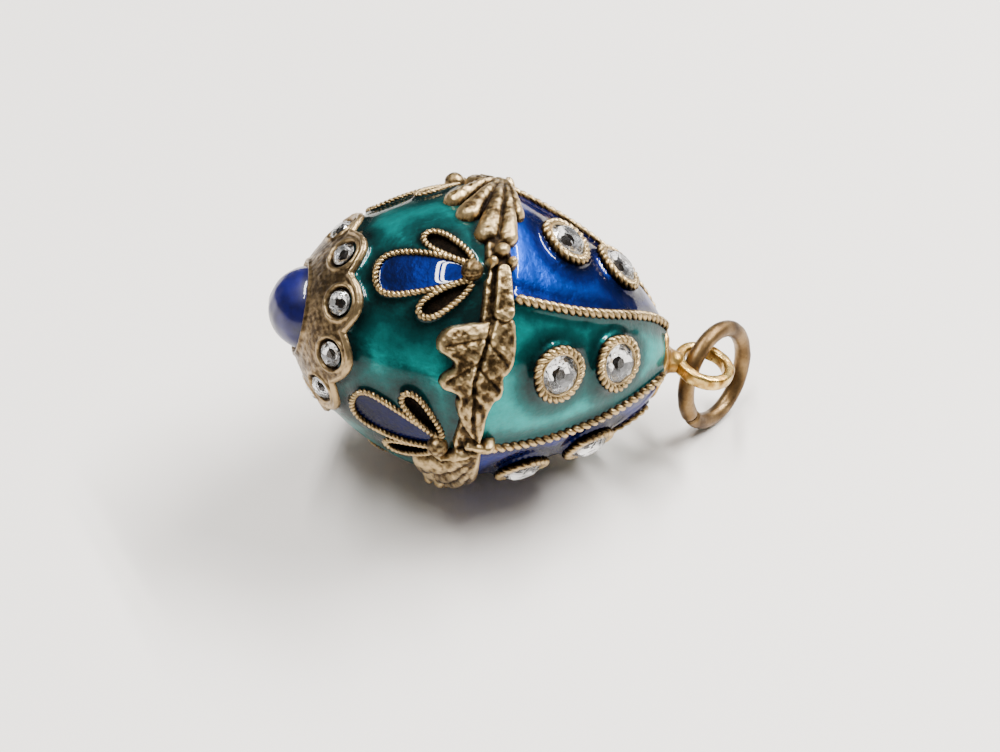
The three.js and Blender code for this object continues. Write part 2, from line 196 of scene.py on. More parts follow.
def without(faces, cut):
    """The faces that have at least one corner outside the cut."""
    return [face for face in faces if not all(cut[i] for i in face)]


def full_turn(count):
    return np.linspace(0, 2 * math.pi, count, endpoint=False)


def spokes(turn, first, second):
    return np.cos(turn)[:, None] * first + np.sin(turn)[:, None] * second


def soften(x, power):
    return np.sign(x) * np.abs(x) ** power


def lumps(points, size, seed):
    """Smooth pseudo-random values in -1..1 made of a few crossed waves."""
    waves = np.random.default_rng(seed)
    total = np.zeros(points.shape[:-1])
    for _ in range(7):
        direction = waves.normal(size=3)
        direction /= np.linalg.norm(direction) * size
        phase = points @ direction * 2 * math.pi * waves.uniform(0.7, 1.6)
        total += np.sin(phase + waves.uniform(0, 6.28))
    return total / 4


def turned(profile, sides, grain, seed):
    """Grid turned about the egg axis from (radius, station) pairs."""
    profile = np.asarray(profile, float)
    turn = full_turn(sides)
    points = np.zeros((len(profile), sides, 3))
    points[..., 0] = profile[:, 1][:, None]
    points[..., 1] = profile[:, 0][:, None] * np.cos(turn)
    points[..., 2] = profile[:, 0][:, None] * np.sin(turn)
    points *= 1 + grain * lumps(points, 1.3, seed)[..., None] / 10
    return points.reshape(-1, 3), flipped(grid_faces(len(profile), sides, wrap_columns=True))


def rounded(profile, radius):
    """The same open profile with its inner corners rounded."""
    profile = [np.array(p, float) for p in profile]
    out = [profile[0]]
    for before, corner, after in zip(profile, profile[1:], profile[2:]):
        back, ahead = np.linalg.norm(before - corner), np.linalg.norm(after - corner)
        reach = min(radius, back / 2.1, ahead / 2.1)
        first = corner + (before - corner) / back * reach
        last = corner + (after - corner) / ahead * reach
        for t in np.linspace(0, 1, CORNER_STEPS):
            out.append((1 - t) ** 2 * first + 2 * t * (1 - t) * corner + t ** 2 * last)
    out.append(profile[-1])
    return out


def frames(path, up, closed):
    """Normals and sideways directions along a path."""
    if closed:
        tangent = np.roll(path, -1, 0) - np.roll(path, 1, 0)
    else:
        tangent = np.gradient(path, axis=0)
    tangent /= np.linalg.norm(tangent, axis=1)[:, None]
    normal = up - tangent * (up * tangent).sum(1)[:, None]
    normal /= np.linalg.norm(normal, axis=1)[:, None]
    return normal, np.cross(tangent, normal)


def tube(path, up, radius, sides, closed=False):
    """Round bar along a path."""
    normal, side = frames(path, up, closed)
    turn = full_turn(sides)[None, :, None]
    radius = np.broadcast_to(radius, (len(path),))
    ring = np.cos(turn) * normal[:, None] + np.sin(turn) * side[:, None]
    points = (path[:, None] + ring * radius[:, None, None]).reshape(-1, 3)
    faces = grid_faces(len(path), sides, closed, True)
    if not closed:
        faces.append(list(range(sides)))
        faces.append([len(points) - 1 - i for i in range(sides)])
    return points, faces


def resample(path, step, closed=False):
    """The same path with points about one step apart."""
    path = np.asarray(path, float)
    if closed:
        path = np.concatenate([path, path[:1]])
    length = np.concatenate([[0], np.cumsum(np.linalg.norm(np.diff(path, axis=0), axis=1))])
    count = max(8, int(length[-1] / step))
    at = np.linspace(0, length[-1], count, endpoint=not closed)
    return np.stack([np.interp(at, length, column) for column in path.T], -1)


def twisted(path, up, strand, lift, pitch, material, closed=False, sides=8):
    """Strands wound round a path, with painted shade under them and where they touch, and lighter painted
    tops.
    """
    normal, side = frames(path, up, closed)
    spacing = np.linalg.norm(np.diff(path, axis=0), axis=1)
    length = spacing.sum() + (np.linalg.norm(path[0] - path[-1]) if closed else 0)
    turns = max(1, round(length / pitch)) if closed else length / pitch
    share = np.concatenate([[0], np.cumsum(spacing)]) / length
    parts = []
    for i in range(STRANDS):
        out = spokes(2 * math.pi * (turns * share + i / STRANDS), normal, side)
        centre = path + out * lift
        points, faces = tube(centre, out + 1e-6, strand, sides, closed)
        above = ((points.reshape(len(path), sides, 3) - path[:, None]) * normal[:, None]).sum(-1)
        # Painted light: darker under each strand and where the strands meet, lighter on the top of each
        # strand.
        shading_and_mottle = 0.35 + 0.75 * above / (strand + lift)
        parts.append((points, faces, material, np.clip(shading_and_mottle, 0, 1.1)))
    return parts


def smooth_step(x):
    x = np.clip(x, 0, 1)
    return x * x * (3 - 2 * x)


def outline_distance(points, outline):
    """Distance in the plane from points to a closed outline, negative outside it."""
    outline = np.asarray(outline, float)
    after = np.roll(outline, -1, 0)
    best = np.full(points.shape[:-1], 1e9)
    inside = np.zeros(points.shape[:-1], bool)
    for a, b in zip(outline, after):
        edge = b - a
        t = np.clip(((points - a) @ edge) / max(edge @ edge, 1e-12), 0, 1)
        best = np.minimum(best, np.linalg.norm(points - a - t[..., None] * edge, axis=-1))
        crosses = (a[1] > points[..., 1]) != (b[1] > points[..., 1])
        rise = b[1] - a[1] if b[1] != a[1] else 1e-12
        reach = a[0] + (points[..., 1] - a[1]) / rise * edge[0]
        inside ^= crosses & (points[..., 0] < reach)
    return np.where(inside, best, -best)


def segment_distance(points, a, b):
    """Distance in the plane to a segment and the share along it."""
    a, b = np.asarray(a, float), np.asarray(b, float)
    edge = b - a
    t = np.clip(((points - a) @ edge) / (edge @ edge), 0, 1)
    return np.linalg.norm(points - a - t[..., None] * edge, axis=-1), t


def stand(s, phi):
    """Foot, outward, along and sideways directions at a place on the egg."""
    foot = on_egg(s, phi, 0)
    out = on_egg(s, phi, 1) - foot
    along = on_egg(s + 0.05, phi, 0) - foot
    along -= out * (along @ out)
    along /= np.linalg.norm(along)
    return foot, out, along, np.cross(out, along)


def ring_on(s, phi, profile, sides):
    """Grid turned about the outward direction from (radius, height) pairs."""
    foot, out, along, side = stand(s, phi)
    profile = np.asarray(profile, float)
    spoke = spokes(full_turn(sides), along, side)
    points = foot + profile[:, 0][:, None, None] * spoke + profile[:, 1][:, None, None] * out
    return points.reshape(-1, 3), grid_faces(len(profile), sides, wrap_columns=True)


# ---------------------------------------------------------------- materials
def shader(name):
    material = bpy.data.materials.new(name)
    material.use_nodes = True
    tree = material.node_tree
    return material, tree, tree.nodes["Principled BSDF"]


def noise(tree, scale, detail=4.0, rough=0.55):
    place = tree.nodes.new("ShaderNodeTexCoord")
    texture = tree.nodes.new("ShaderNodeTexNoise")
    texture.inputs["Scale"].default_value = scale
    texture.inputs["Detail"].default_value = detail
    texture.inputs["Roughness"].default_value = rough
    tree.links.new(place.outputs["Object"], texture.inputs["Vector"])
    return texture.outputs[0]


def ramp(tree, value, stops):
    band = tree.nodes.new("ShaderNodeValToRGB")
    elements = band.color_ramp.elements
    while len(elements) < len(stops):
        elements.new(0.5)
    for element, (at, colour) in zip(elements, stops):
        element.position = at
        element.color = (*colour, 1)
    tree.links.new(value, band.inputs["Fac"])
    return band.outputs["Color"]


def calc(tree, operation, a, b):
    node = tree.nodes.new("ShaderNodeMath")
    node.operation = operation
    for socket, value in zip(node.inputs, (a, b)):
        if isinstance(value, (int, float)):
            socket.default_value = value
        else:
            tree.links.new(value, socket)
    return node.outputs[0]


def bump(tree, height, strength, distance):
    node = tree.nodes.new("ShaderNodeBump")
    node.inputs["Strength"].default_value = strength
    node.inputs["Distance"].default_value = distance
    tree.links.new(height, node.inputs["Height"])
    return node.outputs["Normal"]


def gilt(name, dark, middle, bright, grain=0.5, shine=0.3, mottle=1.0):
    """Antique gilding: dark where the shading attribute is low and bright where it is high; that
    attribute holds painted shade and painted highlight besides random mottle.
    """
    material, tree, surface = shader(name)
    shading_and_mottle = tree.nodes.new("ShaderNodeAttribute")
    shading_and_mottle.attribute_name = "shading_and_mottle"
    blotch = calc(tree, "MULTIPLY", calc(tree, "SUBTRACT", noise(tree, 650), 0.5), 1.1 * mottle)
    speck = calc(tree, "MULTIPLY", calc(tree, "SUBTRACT", noise(tree, 3600, 6), 0.5), 0.9 * mottle)
    level = calc(tree, "ADD", calc(tree, "ADD", shading_and_mottle.outputs["Fac"], blotch), speck)
    colour = ramp(tree, level, [(0.12, dark), (0.5, middle), (0.98, bright)])
    tree.links.new(colour, surface.inputs["Base Color"])
    surface.inputs["Metallic"].default_value = 0.95
    rough = ramp(tree, level, [(0.1, (0.55,) * 3), (0.9, (shine,) * 3)])
    tree.links.new(rough, surface.inputs["Roughness"])
    tree.links.new(bump(tree, noise(tree, 3000, 6, 0.65), grain, 0.00011), surface.inputs["Normal"])
    return material


def enamel(name, deep, middle, glint):
    """Clear glossy enamel over a hand-worked foil: deep beside features, painted lighter towards a glint
    colour in the open.
    """
    material, tree, surface = shader(name)
    painted_glint_level = tree.nodes.new("ShaderNodeAttribute")
    painted_glint_level.attribute_name = "shading_and_mottle"
    cloud = calc(tree, "MULTIPLY", calc(tree, "SUBTRACT", noise(tree, 190, 3), 0.5), 0.45)
    grainy = calc(tree, "MULTIPLY", calc(tree, "SUBTRACT", noise(tree, FOIL_SCALE, 5, 0.7), 0.5), 0.5)
    level = calc(tree, "ADD", calc(tree, "ADD", painted_glint_level.outputs["Fac"], cloud), grainy)
    colour = ramp(tree, level, [(0.12, deep), (0.5, middle), (0.95, glint)])
    tree.links.new(colour, surface.inputs["Base Color"])
    surface.inputs["Metallic"].default_value = 0.8
    surface.inputs["Specular Tint"].default_value = (*glint, 1)
    surface.inputs["Roughness"].default_value = 0.38
    relief = bump(tree, noise(tree, FOIL_SCALE * 1.4, 3, 0.6), 0.5, 0.00014)
    tree.links.new(relief, surface.inputs["Normal"])
    surface.inputs["Coat Weight"].default_value = 0.6
    surface.inputs["Coat Roughness"].default_value = 0.02
    surface.inputs["Coat IOR"].default_value = 1.42
    gloss = bump(tree, noise(tree, 260, 1), 0.1, 0.0001)
    tree.links.new(gloss, surface.inputs["Coat Normal"])
    return material


def opaque_glass(name, deep, light):
    material, tree, surface = shader(name)
    level = noise(tree, 420, 5, 0.6)
    tree.links.new(ramp(tree, level, [(0.32, deep), (0.7, light)]), surface.inputs["Base Color"])
    surface.inputs["Roughness"].default_value = 0.4
    surface.inputs["Specular IOR Level"].default_value = 0.2
    surface.inputs["Coat Weight"].default_value = 0.6
    surface.inputs["Coat Roughness"].default_value = 0.02
    tree.links.new(bump(tree, noise(tree, 900, 3), 0.06, 0.0001), surface.inputs["Normal"])
    return material


def crystal(name):
    material, tree, surface = shader(name)
    surface.inputs["Transmission Weight"].default_value = 1.0
    surface.inputs["IOR"].default_value = 1.58
    tree.links.new(
        ramp(tree, noise(tree, 2500), [(0.3, (0.0,) * 3), (0.8, (0.05,) * 3)]),
        surface.inputs["Roughness"],
    )
    surface.inputs["Base Color"].default_value = (0.97, 0.98, 0.98, 1)
    return material


def foil(name):
    material, tree, surface = shader(name)
    colour = ramp(tree, noise(tree, 1500), [(0.3, (0.75, 0.73, 0.7)), (0.5, (0.97, 0.97, 0.98))])
    tree.links.new(colour, surface.inputs["Base Color"])
    surface.inputs["Metallic"].default_value = 1.0
    surface.inputs["Roughness"].default_value = 0.13
    return material


def table_top(name):
    material, tree, surface = shader(name)
    colour = ramp(tree, noise(tree, 9, 3), [(0.3, (0.8, 0.755, 0.705)), (0.7, (0.84, 0.795, 0.745))])
    tree.links.new(colour, surface.inputs["Base Color"])
    surface.inputs["Roughness"].default_value = 0.55
    tree.links.new(bump(tree, noise(tree, 900, 4), 0.05, 0.0001), surface.inputs["Normal"])
    return material


# Each gilt has a dark, a middle and a bright colour, then its grain, shine and mottle.
GILT = gilt("antique_gilt", (0.006, 0.003, 0.001), (0.07, 0.042, 0.016), (0.52, 0.37, 0.18))
PALE_GILT = gilt(
    "collar_gilt", (0.01, 0.005, 0.002), (0.065, 0.04, 0.017), (0.4, 0.28, 0.14), 0.35, 0.28, 0.8,
)
BRIGHT_GILT = gilt(
    "bright_gilt", (0.08, 0.034, 0.007), (0.34, 0.19, 0.045), (0.8, 0.56, 0.2), 0.18, 0.2, 0.6,
)
AGED_BRASS = gilt(
    "aged_brass", (0.04, 0.022, 0.009), (0.13, 0.076, 0.03), (0.34, 0.22, 0.1), 0.2, 0.33, 0.4,
)
# A near-black sheet of painted shade that stands in for the deep recess inside the flower loops.
RECESS_SHADE = gilt("painted_recess_shade", (0.003, 0.002, 0.001), (0.01, 0.005, 0.002), (0.05, 0.028, 0.012), 0.8, 0.3)
GREEN = enamel("green_enamel", (0.0, 0.01, 0.01), (0.0, 0.072, 0.07), (0.003, 0.33, 0.31))
BLUE = enamel("blue_enamel", (0.0, 0.002, 0.02), (0.0, 0.005, 0.065), (0.002, 0.035, 0.27))
PETAL = enamel("petal_enamel", (0.0, 0.001, 0.01), (0.0, 0.002, 0.028), (0.001, 0.008, 0.1))
LAPIS = opaque_glass("lapis_glass", (0.0, 0.0, 0.018), (0.004, 0.004, 0.12))
CRYSTAL = crystal("clear_stone")
FOIL = foil("stone_foil")


# ---------------------------------------------------------------- flowers and green field
def petal_half(t):
    """Half width of a petal at the share t from its ball to its tip."""
    t = np.clip(t, 0, 1)
    wedge = 0.4 + 0.6 * np.sin(math.pi / 2 * np.minimum(1, t / 0.8))
    return 1.45 * np.sqrt(np.maximum(0, 1 - np.abs(2 * t - 1) ** 6)) * wedge


def loop_half(t):
    t = np.clip(t, 0, 1)
    return 0.8 * np.sqrt(np.maximum(0, 1 - np.abs(2 * t - 1) ** 2.6)) * (0.5 + 0.55 * t)


def lens_outline(length, half, count):
    share = 0.5 - 0.5 * np.cos(np.linspace(0, math.pi, count))
    upper = np.stack([share * length, half(share)], -1)
    lower = np.stack([share * length, -half(share)], -1)[::-1]
    return np.concatenate([upper, lower[1:-1]])


def spin(flat, angle):
    c, s = math.cos(angle), math.sin(angle)
    return np.stack([flat[..., 0] * c - flat[..., 1] * s, flat[..., 0] * s + flat[..., 1] * c], -1)


def flower_place(flat, centre, h):
    s = FLOWER_S - flat[..., 0]
    return on_egg(s, centre + np.degrees(flat[..., 1] / egg_radius(s)), h)


PETAL_OUTLINE = lens_outline(PETAL_LENGTH, petal_half, 40)
LOOP_OUTLINES = [
    spin(lens_outline(LOOP_LENGTH, loop_half, 28), side * LOOP_SPLAY) + (0, side * LOOP_ROOT)
    for side in (1, -1)
]


def lens_sheet(length, half, root, angle, centre, low, edge, material, shade):
    """A sheet inside a wire outline, rising at its edges: enamel for the petals, painted shade for the
    loops.
    """
    t = np.linspace(0.002, 0.998, 44)
    q = np.linspace(-1, 1, 23)
    flat = np.stack(np.broadcast_arrays(
        (t * length)[:, None], half(t)[:, None] * q[None] * 0.99,
    ), -1)
    rise = low + edge * (np.abs(q)[None] ** 7 + np.abs(2 * t - 1)[:, None] ** 16)
    points = flower_place(spin(flat, angle) + (0, root), centre, rise)
    return points.reshape(-1, 3), grid_faces(len(t), len(q)), material, shade


def wire_path(outline, centre, h):
    flat = resample(outline, 0.06, True)
    path = flower_place(flat, centre, h)
    up = flower_place(flat, centre, h + 1) - path
    return path, up


def ball(centre, radius, material, seed):
    count = 36
    turn = full_turn(count)
    drop = np.linspace(0.02, math.pi - 0.02, count // 2)
    unit = np.stack(np.broadcast_arrays(
        np.sin(drop)[:, None] * np.cos(turn), np.sin(drop)[:, None] * np.sin(turn), np.cos(drop)[:, None],
    ), -1)
    bumpy = 1 + 0.03 * lumps(unit, 0.9, seed)
    points = centre + unit * (radius * bumpy)[..., None]
    shading_and_mottle = 0.65 + 0.25 * lumps(unit, 0.5, seed + 9)
    faces = flipped(grid_faces(len(drop), count, wrap_columns=True))
    return points.reshape(-1, 3), faces, material, shading_and_mottle


def make_flowers():
    for k in range(FLOWERS):
        centre = FLOWER_START + k * 360 / FLOWERS
        parts = []
        for outline in LOOP_OUTLINES:
            path, up = wire_path(outline, centre, 0.14)
            parts += twisted(path, up, 0.135, 0.115, 0.62, GILT, True)
        path, up = wire_path(PETAL_OUTLINE, centre, 0.16)
        parts += twisted(path, up, 0.13, 0.11, 0.62, GILT, True)
        foot = on_egg(FLOWER_S, centre, 0.42)
        parts.append(ball(foot, BALL_RADIUS, GILT, k))
        for side in (1, -1):
            # Painted shade: near-black sheets inside the loops stand in for the recess behind the wire.
            parts.append(lens_sheet(
                LOOP_LENGTH, loop_half, side * LOOP_ROOT, side * LOOP_SPLAY, centre,
                -0.2, 0.25, RECESS_SHADE, 0.2,
            ))
        build(f"flower_{k + 1}", parts, f"flower_wire_{k + 1}")
        sheet = lens_sheet(PETAL_LENGTH, petal_half, 0, 0, centre, 0.02, 0.16, PETAL, 0.5)
        build(f"petal_{k + 1}", [sheet], f"petal_enamel_{k + 1}")


def make_field():
    """Green enamel over the blunt half, creeping up the wires and cut out inside them."""
    s = np.linspace(-9.6, -1.6, 76)
    sector = 360 / FLOWERS
    steps = 96
    columns = steps * FLOWERS
    phi = np.linspace(-sector / 2, sector / 2, steps, endpoint=False)
    grid_s, grid_phi = np.meshgrid(s, phi, indexing="ij")
    flat = np.stack([FLOWER_S - grid_s, np.radians(grid_phi) * egg_radius(grid_s)], -1)
    gap = np.full(grid_s.shape, 1e9)
    hole = np.zeros(grid_s.shape, bool)
    for outline in (PETAL_OUTLINE, *LOOP_OUTLINES):
        inside = outline_distance(flat, outline)
        gap = np.minimum(gap, np.abs(inside))
        hole |= inside > 0.02
    gap = np.minimum(gap, np.abs(np.hypot(flat[..., 0], flat[..., 1]) - 0.6))
    rise = 0.02 + 0.2 * np.exp(-np.maximum(gap - 0.12, 0) / 0.17)
    rise, gap, hole = (np.tile(grid, (1, FLOWERS)) for grid in (rise, gap, hole))
    whole_phi = FLOWER_START - sector / 2 + np.arange(columns) * sector / steps
    full_s, full_phi = np.meshgrid(s, whole_phi, indexing="ij")
    rim = rim_gap(full_s, full_phi)
    rise += 0.16 * np.exp(-np.maximum(rim, 0) / 0.2)
    rise += 0.02 * lumps(on_egg(full_s, full_phi, rise), 3.5, 3)
    points = on_egg(full_s, full_phi, rise)
    faces = without(flipped(grid_faces(len(s), columns, wrap_columns=True)), hole.reshape(-1))
    # Painted glint: the foil turns lighter towards its glint colour away from the wires, the collar rim
    # and the band.
    open_space = np.minimum(np.minimum(gap, rim), 1.2 * (BAND_START_S - full_s))
    shading_and_mottle = 0.12 + 0.62 * smooth_step(open_space / 2.6)
    field = build("green_field", [(points.reshape(-1, 3), faces, GREEN, shading_and_mottle)], "green_enamel_field")


# ---------------------------------------------------------------- collar and dome
def collar_edge(phi):
    lobe = np.abs(np.cos(np.radians((phi - COLLAR_START) * LOBES / 2)))
    return COLLAR_EDGE + COLLAR_WAVE * (2 * lobe ** 1.1 - 1)


def blunt_station(radius):
    return -BLUNT_LENGTH * np.maximum(0, 1 - (radius / BELT_RADIUS) ** 2) ** (1 / BLUNT_FULLNESS)


def rim_gap(s, phi):
    """Distance on the field outside the collar's edge, in mm."""
    return egg_radius(s) - collar_edge(phi) + 0.8 * (s - blunt_station(collar_edge(phi)))


def lobe_angle(k):
    return COLLAR_START + k * 360 / LOBES


def make_collar():
    columns = 560
    phi = np.arange(columns) * 360 / columns
    t = np.concatenate([[-0.03, -0.03], np.linspace(0, 0.955, 66), [0.97, 0.985, 0.995, 1.0, 1.0]])
    edge = collar_edge(phi)
    radius = COLLAR_BORE + np.clip(t, 0, 1)[:, None] * (edge - COLLAR_BORE)
    s = blunt_station(radius)
    full_phi = np.broadcast_to(phi, s.shape)
    base = on_egg(s, full_phi, 0)
    rise = np.full(s.shape, 0.34)
    from_edge = (1 - t)[:, None] * (edge - COLLAR_BORE) / 0.75
    rise += 0.2 * np.exp(-((from_edge - 0.22) / 0.16) ** 2)
    rise += 0.12 * np.exp(-((t[:, None] * 3.6 - 0.12) / 0.15) ** 2)
    # Painted light: lighter on the raised ridge near the edge and on each seat's rim, painted shade in
    # each bowl round a stone; the lumps add random mottle.
    shading_and_mottle = np.full(s.shape, 0.6) + 0.45 * np.exp(-((from_edge - 0.2) / 0.2) ** 2)
    for k in range(LOBES):
        seat = on_egg(SEAT_S, lobe_angle(k), 0)
        gap = np.linalg.norm(base - seat, axis=-1)
        rise += 0.13 * np.exp(-((gap - SEAT_RIM) / 0.12) ** 2)
        bowl = smooth_step((SEAT_BOWL - gap) / 0.22)
        rise = rise * (1 - bowl) + 0.02 * bowl
        shading_and_mottle += 0.35 * np.exp(-((gap - SEAT_RIM) / 0.12) ** 2) - 0.55 * bowl
    rise += 0.018 * lumps(base, 0.5, 5)
    shading_and_mottle += 0.12 * lumps(base, 0.6, 6)
    rise[0] = -0.3
    rise[-1] = -0.25
    rise[-2] = 0.1
    points = on_egg(s, full_phi, rise)
    faces = grid_faces(len(t), columns, wrap_columns=True)
    collar = build("collar", [(points.reshape(-1, 3), faces, PALE_GILT, shading_and_mottle)], "scalloped_collar")
    for k in range(LOBES):
        number = f"{k + 1:02d}"
        stone(f"collar_gem_{number}", SEAT_S, lobe_angle(k), COLLAR_STONE, 0.28, f"collar_stone_{number}")


def make_dome():
    turn = np.linspace(0.004, math.radians(100), 56)
    profile = np.stack([DOME_RADIUS * np.sin(turn), DOME_S - DOME_RADIUS * np.cos(turn)], -1)
    points, faces = turned(profile, 96, 0.02, 4)
    build("dome", [(points, faces, LAPIS, 0.5)], "cabochon")


# ---------------------------------------------------------------- stones and collets
def stone(name, s, phi, radius, girdle, node):
    """Brilliant cut: table, stars, kites and girdle facets over a foiled back."""
    foot, out, along, side = stand(s, phi)
    twist = rng.uniform(0, 0.7)

    def ring(count, share, height, offset=0.0):
        turn = 2 * math.pi * (np.arange(count) + offset) / count + twist
        return foot + spokes(turn, along, side) * radius * share + out * (girdle + height * radius)

    points = np.concatenate([
        ring(8, 0.56, 0.36, 0.5), ring(8, 0.82, 0.22), ring(16, 1.0, 0.03),
        ring(16, 1.0, -0.03), ring(8, 0.55, -0.27), ring(1, 0.0, -0.4),
    ])
    table, upper, girdle_top, girdle_low, lower, culet = 0, 8, 16, 32, 48, 56
    crown = [list(range(8))]
    back = []
    for i in range(8):
        j = (i + 1) % 8
        crown.append([table + (i - 1) % 8, upper + i, table + i])
        crown.append([table + i, upper + i, girdle_top + 2 * i + 1, upper + j])
        crown.append([upper + i, girdle_top + 2 * i, girdle_top + 2 * i + 1])
        crown.append([upper + i, girdle_top + (2 * i - 1) % 16, girdle_top + 2 * i])
        back.append([lower + i, culet, lower + j])
        back.append([lower + i, lower + j, girdle_low + 2 * i + 1])
        back.append([lower + i, girdle_low + 2 * i + 1, girdle_low + 2 * i])
        back.append([lower + i, girdle_low + 2 * i, girdle_low + (2 * i - 1) % 16])
    for i in range(16):
        j = (i + 1) % 16
        crown.append([girdle_top + i, girdle_low + i, girdle_low + j, girdle_top + j])
    mesh = bpy.data.meshes.new(name)
    mesh.from_pydata(to_row(points).tolist(), [], crown + back)
    mesh.materials.append(CRYSTAL)
    mesh.materials.append(FOIL)
    mesh.polygons.foreach_set("material_index", [0] * len(crown) + [1] * len(back))
    mesh.validate()
    mesh.update()
    gem = add(name, mesh)
    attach(gem, "egg")
    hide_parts(node)


def rope_angle(k, s):
    return ROPE_START + k * 360 / PANELS + ROPE_SWIRL * (np.asarray(s) / POINT_LENGTH) ** 3


def stone_angle(k, s):
    return float(rope_angle(k, s) + rope_angle(k + 1, s)) / 2 + STONE_SHIFT


def make_collets():
    sides = 64
    bezel = rounded([
        (1.62, -0.1), (1.54, 0.4), (1.42, 0.58), (1.3, 0.54), (1.3, 0.3), (1.05, 0.05), (0.0, 0.05),
    ], 0.08)
    # Painted light along the bezel profile: lighter on the top of the rim, painted shade on the inner
    # wall and on the floor under the stone.
    corners = [CORNER_STEPS] * 4
    shade = np.repeat([0.3, 0.5, 0.9, 0.9, 0.3, 0.0], [1, *corners, len(bezel) - 1 - sum(corners)])
    turn = full_turn(150)
    for k in range(PANELS):
        parts = []
        for row, s in enumerate(STONE_STATIONS):
            phi = stone_angle(k, s)
            points, faces = ring_on(s, phi, bezel, sides)
            parts.append((points, faces, GILT, np.repeat(shade, sides)))
            foot, out, along, side = stand(s, phi)
            wobble = WREATH_RADIUS + 0.05 * np.sin(3 * turn + k) + 0.03 * np.sin(5 * turn + 2 * row + k)
            path = foot + spokes(turn, along, side) * wobble[:, None] + out * 0.3
            up = np.broadcast_to(out, path.shape)
            parts += twisted(path, up, 0.18, 0.15, 0.85, GILT, True, sides=10)
            number = f"{2 * k + row + 1:02d}"
            stone(f"panel_gem_{number}", s, phi, PANEL_STONE, 0.48, f"panel_stone_{number}")
        build(f"collets_{k + 1}", parts, f"stone_setting_{k + 1}")


# ---------------------------------------------------------------- panels and ropes
def make_panels():
    s = np.concatenate([np.linspace(-0.5, 12.0, 92), np.linspace(12.05, 12.7, 8)])
    q = np.linspace(0, 1, 61)
    for k in range(PANELS):
        left, right = rope_angle(k, s), rope_angle(k + 1, s)
        phi = left[:, None] + (right - left)[:, None] * q
        full_s = np.broadcast_to(s[:, None], phi.shape)
        span = np.radians(right - left) * egg_radius(s)
        edge = np.minimum(q, 1 - q)[None] * span[:, None]
        rise = -0.04 + 0.22 * np.exp(-np.maximum(edge - 0.3, 0) / 0.2)
        rise += 0.08 * (1 - np.exp(-edge / 1.2))
        base = on_egg(full_s, phi, 0)
        clear = np.full(base.shape[:-1], 9.0)
        for row in STONE_STATIONS:
            gap = np.linalg.norm(base - on_egg(row, stone_angle(k, row), 0), axis=-1)
            rise += 0.2 * np.exp(-np.maximum(gap - 1.88, 0) / 0.16)
            rise = np.where(gap < 1.6, -0.3, rise)
            clear = np.minimum(clear, gap - 1.98)
        rise += 0.025 * lumps(base, 3.0, 11 + k)
        # Painted glint: the foil turns lighter towards its glint colour away from the ropes and the
        # settings.
        shading_and_mottle = 0.2 + 0.6 * smooth_step(np.minimum(edge, clear) / 2.0)
        points = on_egg(full_s, phi, rise)
        material, place = (GREEN, "green_enamel") if k % 2 == 0 else (BLUE, "blue_enamel")
        part = (points.reshape(-1, 3), flipped(grid_faces(len(s), len(q))), material, shading_and_mottle)
        panel = build(f"panel_{k + 1}", [part], f"enamel_panel_{k + 1}")


def make_ropes():
    for k in range(PANELS):
        s = np.linspace(0.1, 12.55, 94)
        raw = on_egg(s, rope_angle(k, s), 0.2)
        path = resample(raw, 0.07)
        share, known = np.linspace(0, 1, len(path)), np.linspace(0, 1, len(s))
        outward = on_egg(s, rope_angle(k, s), 1.2) - raw
        up = np.stack([np.interp(share, known, column) for column in outward.T], -1)
        parts = twisted(path, up, 0.2, 0.17, 1.15, GILT)
        build(f"rope_{k + 1}", parts, f"rope_wire_{k + 1}")


# ---------------------------------------------------------------- garland
# Angle in degrees and station in mm, going round the lobes.
LEAF_OUTLINE = (
    (-8, 0.05), (0, 0.55), (11, 0.75), (15, 0.35), (16, 0.1), (22.5, 0.5), (27, -0.35), (37, -0.2),
    (50, -0.1), (42, -1.0), (37, -2.1), (28.5, -2.7), (25.5, -2.5), (25.7, -3.8), (20, -4.0),
    (15, -3.1), (13, -3.5), (10.5, -4.6), (1, -4.3), (-2, -2.8), (-3.5, -1.6),
)
LEAF_MIDRIB = ((-3, -1.3), (18, -1.8), (34, -1.25), (46, -0.4))
LEAF_VEINS = (
    ((3, -1.6), (8, -3.8)), ((12, -1.8), (21, -3.4)), ((22, -1.7), (31, -2.3)),
    ((4, -1.4), (12, 0.3)), ((14, -1.6), (21, 0.1)), ((25, -1.4), (33, -0.5)),
)
FAN_ROOT = (-73.0, -0.3)
FINGERS = (
    (-61, -3.6, 0.72), (-50, -2.9, 0.82), (-38.5, -1.85, 0.8), (-36.5, -0.55, 0.68), (-50, 0.15, 0.6),
)
KNOBS = ((-29.6, -1.0, 0.52), (-24.5, -1.6, 0.4), (-25, -0.35, 0.38), (-75, 0.3, 0.45))


def belt_flat(phi, s):
    return np.stack(np.broadcast_arrays(np.radians(phi) * BELT_RADIUS, s), -1)


def rounder(outline):
    """The same closed outline with its corners cut."""
    outline = np.asarray(outline, float)
    for _ in range(2):
        after = np.roll(outline, -1, 0)
        pairs = [0.72 * outline + 0.28 * after, 0.28 * outline + 0.72 * after]
        outline = np.stack(pairs, 1).reshape(-1, 2)
    return outline


